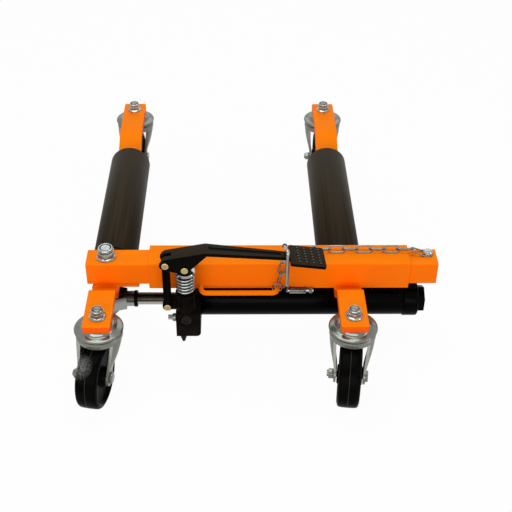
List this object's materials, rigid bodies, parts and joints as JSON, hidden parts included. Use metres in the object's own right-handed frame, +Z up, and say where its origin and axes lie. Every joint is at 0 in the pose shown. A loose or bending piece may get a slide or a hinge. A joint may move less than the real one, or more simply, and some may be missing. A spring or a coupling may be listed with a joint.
{
  "type": "hydraulic vehicle positioning jack",
  "caption": "Wheel dolly: roller arms on swivel castors joined by a telescopic beam that a foot-pumped hydraulic ram draws together under a tyre.",
  "frame": {"origin": "on the floor under the middle of the overall box", "axes": "+Z up; +X from the sliding half of the frame to the fixed half along the beam; +Y from the beam towards the castors at the far ends of the rollers"},
  "size_m": [0.5648, 0.7564, 0.2231],
  "materials": {
    "orange_paint": "semi-gloss powder coat",
    "black_paint": "satin",
    "roller_black": "satin, drawn lines",
    "bush_plastic": "matte",
    "bare_steel": "ground",
    "spring_steel": "bright zinc",
    "zinc": "zinc plated",
    "yellow_zinc": "yellow zinc",
    "pad_rubber": "matte",
    "wheel_black": "semi-matte"
  },
  "bodies": {
    "right_frame": {"outer_tube": "orange_paint", "end_stub": "orange_paint", "carry_handle": "orange_paint", "right_front_arm": "orange_paint", "right_rear_arm": "orange_paint", "right_roller_shaft": "bare_steel", "ram_cylinder": "black_paint", "ram_end_cap": "black_paint", "ram_end_plug": "black_paint", "ram_lug": "black_paint", "pump_block": "black_paint", "pump_plug": "black_paint", "right_castor_nuts": "zinc", "front_right_race": "zinc", "rear_right_race": "zinc", "safety_chain": "zinc", "chain_rings": "zinc", "chain_bolt": "zinc", "hook_sleeve": "bare_steel"},
    "left_frame": {"inner_tube": "orange_paint", "pad_plate": "orange_paint", "left_front_arm": "orange_paint", "left_rear_arm": "orange_paint", "left_roller_shaft": "bare_steel", "ram_rod": "bare_steel", "ram_piston": "bare_steel", "rod_end": "bare_steel", "rod_lock_ring": "black_paint", "anchor_bolt": "zinc", "anchor_fittings": "zinc", "left_castor_nuts": "zinc", "front_left_race": "zinc", "rear_left_race": "zinc"},
    "left_roller_body": {"left_roller": "roller_black", "left_roller_bushes": "bush_plastic"},
    "right_roller_body": {"right_roller": "roller_black", "right_roller_bushes": "bush_plastic"},
    "link": {"pump_link": "black_paint", "link_top_pin": "yellow_zinc", "link_bottom_pin": "yellow_zinc"},
    "pedal": {"pedal_lever": "black_paint", "foot_pad": "pad_rubber"},
    "plunger_body": {"plunger": "bare_steel", "plunger_pin": "yellow_zinc", "return_spring": "spring_steel"},
    "valve": {"release_valve": "zinc"},
    "hook": {"lock_hook": "zinc", "hook_nut": "zinc"},
    "front_left_swivel_body": {"front_left_fork": "zinc", "front_left_axle": "zinc"},
    "front_left_wheel_body": {"front_left_wheel": "wheel_black"},
    "front_right_swivel_body": {"front_right_fork": "zinc", "front_right_axle": "zinc"},
    "front_right_wheel_body": {"front_right_wheel": "wheel_black"},
    "rear_left_swivel_body": {"rear_left_fork": "zinc", "rear_left_axle": "zinc"},
    "rear_left_wheel_body": {"rear_left_wheel": "wheel_black"},
    "rear_right_swivel_body": {"rear_right_fork": "zinc", "rear_right_axle": "zinc"},
    "rear_right_wheel_body": {"rear_right_wheel": "wheel_black"}
  },
  "joints": [
    {"name": "frame_slide", "type": "slide", "parent": "right_frame", "child": "left_frame", "axis": [1, 0, 0], "range_m": [-0.2, 0.014]},
    {"name": "left_roller_spin", "type": "hinge", "parent": "left_frame", "child": "left_roller_body", "pos_m": [-0.234, 0, 0.11], "axis": [0, 1, 0], "continuous": true},
    {"name": "right_roller_spin", "type": "hinge", "parent": "right_frame", "child": "right_roller_body", "pos_m": [0.1349, 0, 0.11], "axis": [0, 1, 0], "continuous": true},
    {"name": "front_left_swivel", "type": "hinge", "parent": "left_frame", "child": "front_left_swivel_body", "pos_m": [-0.2411, -0.2912, 0], "axis": [0, 0, 1], "continuous": true},
    {"name": "front_left_roll", "type": "hinge", "parent": "front_left_swivel_body", "child": "front_left_wheel_body", "pos_m": [-0.24815, -0.3265, 0.05], "axis": [0.9806, -0.1959, 0], "continuous": true},
    {"name": "front_right_swivel", "type": "hinge", "parent": "right_frame", "child": "front_right_swivel_body", "pos_m": [0.142, -0.2912, 0], "axis": [0, 0, 1], "continuous": true},
    {"name": "front_right_roll", "type": "hinge", "parent": "front_right_swivel_body", "child": "front_right_wheel_body", "pos_m": [0.13749, -0.32692, 0.05], "axis": [0.9921, -0.1253, 0], "continuous": true},
    {"name": "rear_left_swivel", "type": "hinge", "parent": "left_frame", "child": "rear_left_swivel_body", "pos_m": [-0.2383, 0.341, 0], "axis": [0, 0, 1], "continuous": true},
    {"name": "rear_left_roll", "type": "hinge", "parent": "rear_left_swivel_body", "child": "rear_left_wheel_body", "pos_m": [-0.24018, 0.30505, 0.05], "axis": [0.9986, -0.0523, 0], "continuous": true},
    {"name": "rear_right_swivel", "type": "hinge", "parent": "right_frame", "child": "rear_right_swivel_body", "pos_m": [0.1392, 0.341, 0], "axis": [0, 0, 1], "continuous": true},
    {"name": "rear_right_roll", "type": "hinge", "parent": "rear_right_swivel_body", "child": "rear_right_wheel_body", "pos_m": [0.13732, 0.30505, 0.05], "axis": [0.9986, -0.0523, 0], "continuous": true},
    {"name": "link_rock", "type": "hinge", "parent": "right_frame", "child": "link", "pos_m": [-0.1414, -0.2257, 0.1074], "axis": [0, -1, 0], "range_deg": [-0.594, 0.214]},
    {"name": "pedal_tilt", "type": "hinge", "parent": "link", "child": "pedal", "pos_m": [-0.1414, -0.2257, 0.191], "axis": [0, -1, 0], "range_deg": [-5, 1.8], "stiffness_Nm_per_rad": 12, "springref_deg": 1.72},
    {"name": "plunger_slide", "type": "slide", "parent": "right_frame", "child": "plunger_body", "axis": [0, 0, 1], "range_m": [-0.00296, 0.00106], "deforming": ["return_spring"]},
    {"name": "valve_turn", "type": "hinge", "parent": "right_frame", "child": "valve", "pos_m": [-0.1289, -0.2257, 0.079], "axis": [-1, 0, 0], "range_deg": [0, 180]},
    {"name": "hook_swing", "type": "hinge", "parent": "right_frame", "child": "hook", "pos_m": [0.0425, -0.20595, 0.117], "axis": [1, 0, 0], "range_deg": [0, 115]}
  ],
  "couplings": [
    {"joint": "link_rock", "follows": "pedal_tilt", "ratio": 0.1132},
    {"joint": "plunger_slide", "follows": "pedal_tilt", "m_per_rad": 0.03228}
  ]
}
